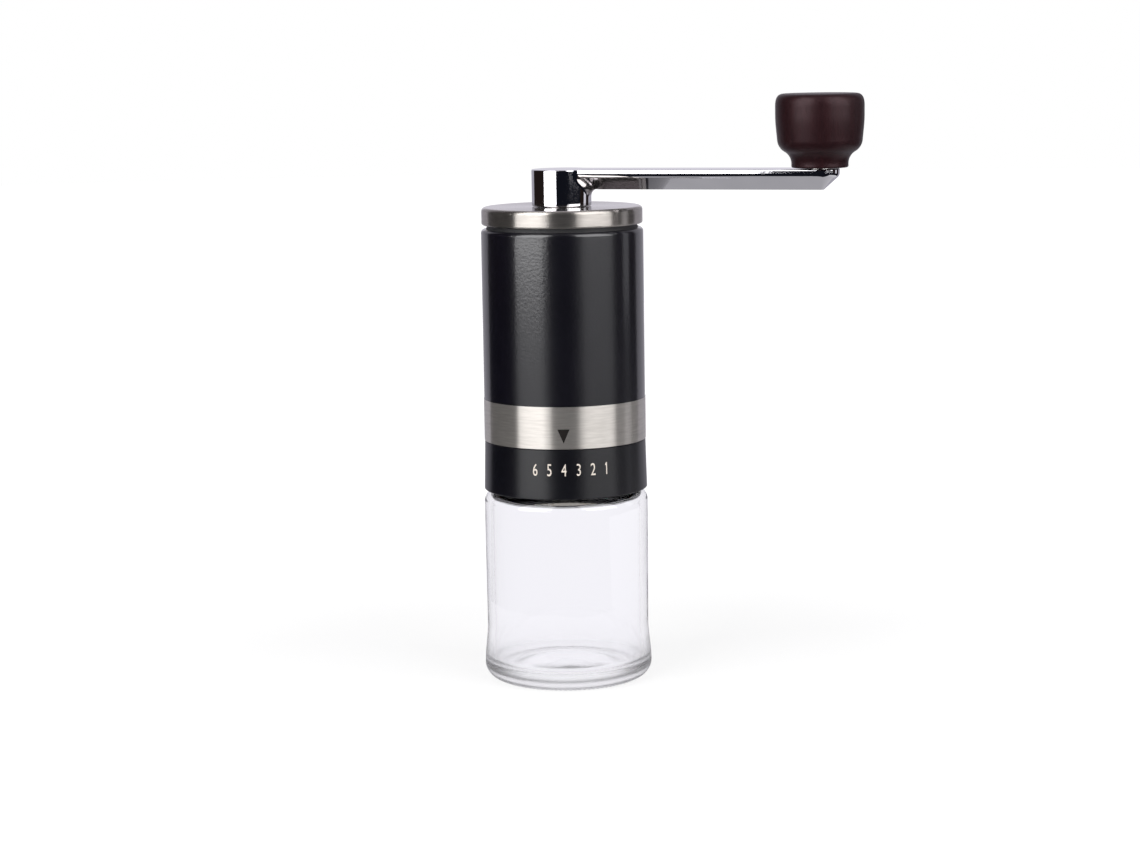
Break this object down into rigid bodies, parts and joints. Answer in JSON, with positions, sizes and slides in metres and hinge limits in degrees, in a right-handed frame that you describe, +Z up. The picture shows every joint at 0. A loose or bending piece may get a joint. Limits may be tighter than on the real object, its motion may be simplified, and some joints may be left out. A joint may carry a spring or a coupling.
{
  "type": "hand crank coffee grinder",
  "caption": "Slim hand coffee grinder with a glass grounds jar, an outside grind dial, conical burrs, a lift-off steel lid and a crank arm with a turned wood knob.",
  "frame": {"origin": "centre of the jar's foot on the table, on the grinder's axis", "axes": "+Z up along the grinder's axis, -Y to the front with the dial's numbers, crank arm towards +X and 15 degrees to the front"},
  "size_m": [0.1144, 0.0589, 0.1772],
  "materials": {
    "clear_glass": "clear pressed glass, polished",
    "white_silicone": "matt silicone",
    "black_plastic": "moulded, fine satin",
    "black_dial": "satin with light numbers",
    "natural_bush": "acetal, turned",
    "brushed_steel": "brushed round the axis",
    "turned_steel": "turned, bright",
    "black_paint": "semi-gloss with light orange peel",
    "chrome_plate": "polished die casting",
    "white_ceramic": "fired, unglazed",
    "dark_wood": "stained reddish brown, satin lacquer"
  },
  "bodies": {
    "jar": {"glass_jar": "clear_glass"},
    "seal": {"jar_seal": "white_silicone"},
    "housing": {"hopper_core": "black_plastic", "jar_collar": "black_plastic", "collar_screws": "turned_steel", "steel_band": "brushed_steel", "body_sleeve": "black_paint", "shaft_bridge": "black_plastic", "upper_bush": "natural_bush", "lower_bush": "natural_bush", "detent_ball": "turned_steel", "detent_spring": "turned_steel"},
    "dial": {"adjusting_dial": "black_dial"},
    "carrier": {"burr_carrier": "black_plastic", "outer_burr": "white_ceramic", "burr_retainer": "black_plastic"},
    "rotor": {"drive_shaft": "turned_steel", "inner_burr": "white_ceramic", "burr_spring": "turned_steel", "spring_washer": "turned_steel", "burr_washer": "turned_steel", "burr_nut": "turned_steel", "shaft_clip": "turned_steel", "thrust_washer": "turned_steel"},
    "lid": {"lid_cap": "brushed_steel", "lid_liner": "black_plastic", "lid_bush": "natural_bush"},
    "crank": {"crank_arm": "chrome_plate", "crank_washer": "turned_steel", "crank_clip": "turned_steel", "knob_pin": "turned_steel"},
    "knob": {"knob": "dark_wood", "knob_bush": "natural_bush"}
  },
  "joints": [
    {"name": "housing_rise", "type": "slide", "parent": "jar", "child": "seal", "axis": [0, 0, 1], "range_m": [0, 0.004]},
    {"name": "jar_unscrew", "type": "hinge", "parent": "seal", "child": "housing", "pos_m": [0, 0, 0.07], "axis": [0, 0, 1], "range_deg": [0, 360]},
    {"name": "dial_turn", "type": "hinge", "parent": "housing", "child": "dial", "pos_m": [0, 0, 0.066], "axis": [0, 0, 1], "range_deg": [-30.75, 20.5]},
    {"name": "carrier_travel", "type": "slide", "parent": "dial", "child": "carrier", "axis": [0, 0, 1], "range_m": [-0.00052, 0.00035]},
    {"name": "lid_lift", "type": "slide", "parent": "housing", "child": "lid", "axis": [0, 0, 1], "range_m": [0, 0.045]},
    {"name": "crank_spin", "type": "hinge", "parent": "lid", "child": "crank", "pos_m": [0, 0, 0.144], "axis": [0, 0, 1], "continuous": true},
    {"name": "shaft_spin", "type": "hinge", "parent": "housing", "child": "rotor", "pos_m": [0, 0, 0.1], "axis": [0, 0, 1], "continuous": true},
    {"name": "knob_spin", "type": "hinge", "parent": "crank", "child": "knob", "pos_m": [0.07583, -0.02032, 0.1557], "axis": [0, 0, 1], "continuous": true}
  ],
  "couplings": [
    {"joint": "housing_rise", "follows": "jar_unscrew", "m_per_rad": 0.0006366},
    {"joint": "carrier_travel", "follows": "dial_turn", "m_per_rad": 0.00095493},
    {"joint": "shaft_spin", "follows": "crank_spin", "ratio": 1}
  ]
}
